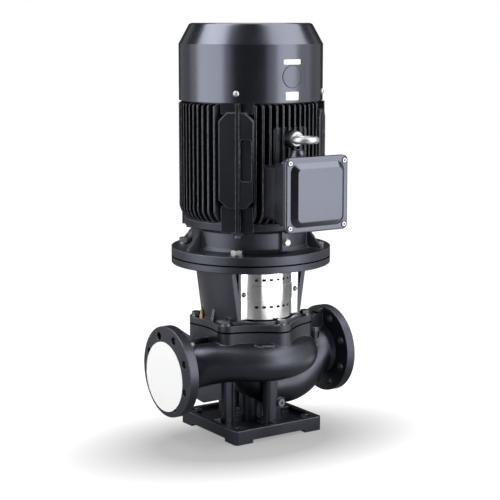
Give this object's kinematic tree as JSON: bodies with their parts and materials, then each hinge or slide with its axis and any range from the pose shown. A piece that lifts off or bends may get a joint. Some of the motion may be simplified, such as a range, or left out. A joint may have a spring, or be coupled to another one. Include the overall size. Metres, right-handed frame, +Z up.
{
  "type": "inline circulation pump",
  "caption": "Vertical in-line circulation pump: spiral casing with two pipe flanges on a foot plate, lantern with guarded windows, finned flange motor with terminal box and fan cover.",
  "frame": {"origin": "middle of the foot plate's underside, on the shaft's axis", "axes": "+Z up along the shaft, +X out of the suction flange, -Y towards the terminal box"},
  "size_m": [0.44, 0.4365, 0.9045],
  "materials": {
    "cast_black": "semi-gloss black paint on cast iron",
    "sheet_black": "gloss black paint on pressed sheet",
    "stainless": "bright rolled stainless steel sheet",
    "zinc": "zinc-plated steel",
    "brass": "machined brass",
    "shaft_steel": "ground steel",
    "laminations": "stacked electrical sheet",
    "copper": "varnished copper wire",
    "seal_carbon": "carbon and ceramic seal ring",
    "gasket": "fibre gasket",
    "rubber": "black rubber",
    "impeller_iron": "machined cast iron",
    "plastic_black": "black moulded plastic",
    "board": "brown moulded insulating board"
  },
  "bodies": {
    "pump": {"base_plate": "cast_black", "base_screws": "zinc", "volute_casing": "cast_black", "wear_ring": "brass", "casing_gasket": "gasket", "seal_cover": "cast_black", "seal_seat": "seal_carbon", "lantern": "cast_black", "casing_bolts": "zinc", "casing_washers": "zinc", "guard_front": "stainless", "guard_rear": "stainless", "guard_screws": "zinc", "drive_end_shield": "cast_black", "flange_bolts": "zinc", "flange_washers": "zinc", "lower_bearing_outer": "shaft_steel", "upper_bearing_outer": "shaft_steel", "preload_washer": "shaft_steel", "motor_frame": "cast_black", "stator_core": "laminations", "winding_lower": "copper", "winding_upper": "copper", "rear_end_shield": "cast_black", "end_shield_bolts": "zinc", "fan_cover": "sheet_black", "fan_cover_screws": "zinc", "cover_plug": "plastic_black", "terminal_box": "cast_black", "box_gasket": "gasket", "terminal_lid": "sheet_black", "lid_screws": "zinc", "terminal_board": "board", "terminal_studs": "brass", "cable_plug": "plastic_black", "eye_bolt": "zinc", "earth_screw": "zinc", "vent_body": "brass", "drain_plug": "zinc", "gauge_plugs": "zinc"},
    "rotor": {"seal_ring": "seal_carbon", "seal_spring": "shaft_steel", "impeller": "impeller_iron", "impeller_key": "shaft_steel", "impeller_nut": "shaft_steel", "impeller_washer": "shaft_steel", "stub_shaft": "shaft_steel", "coupling_screws": "shaft_steel", "motor_shaft": "shaft_steel", "shaft_key": "shaft_steel", "rotor_core": "laminations", "slinger": "rubber", "fan": "plastic_black", "fan_clip": "shaft_steel", "lower_bearing_inner": "shaft_steel", "upper_bearing_inner": "shaft_steel"},
    "lower_balls": {"lower_bearing_balls": "shaft_steel"},
    "upper_balls": {"upper_bearing_balls": "shaft_steel"},
    "vent_screw": {"vent_screw": "brass"}
  },
  "joints": [
    {"name": "rotor_spin", "type": "hinge", "parent": "pump", "child": "rotor", "pos_m": [0, 0, 0.45], "axis": [0, 0, 1], "continuous": true},
    {"name": "lower_balls_roll", "type": "hinge", "parent": "pump", "child": "lower_balls", "pos_m": [0, 0, 0.4385], "axis": [0, 0, 1], "continuous": true},
    {"name": "upper_balls_roll", "type": "hinge", "parent": "pump", "child": "upper_balls", "pos_m": [0, 0, 0.7615], "axis": [0, 0, 1], "continuous": true},
    {"name": "vent_turn", "type": "hinge", "parent": "pump", "child": "vent_screw", "pos_m": [-0.10806, 0.03304, 0.272], "axis": [0, 0, 1], "range_deg": [0, 360]}
  ],
  "couplings": [
    {"joint": "lower_balls_roll", "follows": "rotor_spin", "ratio": 0.3912},
    {"joint": "upper_balls_roll", "follows": "rotor_spin", "ratio": 0.3912}
  ]
}
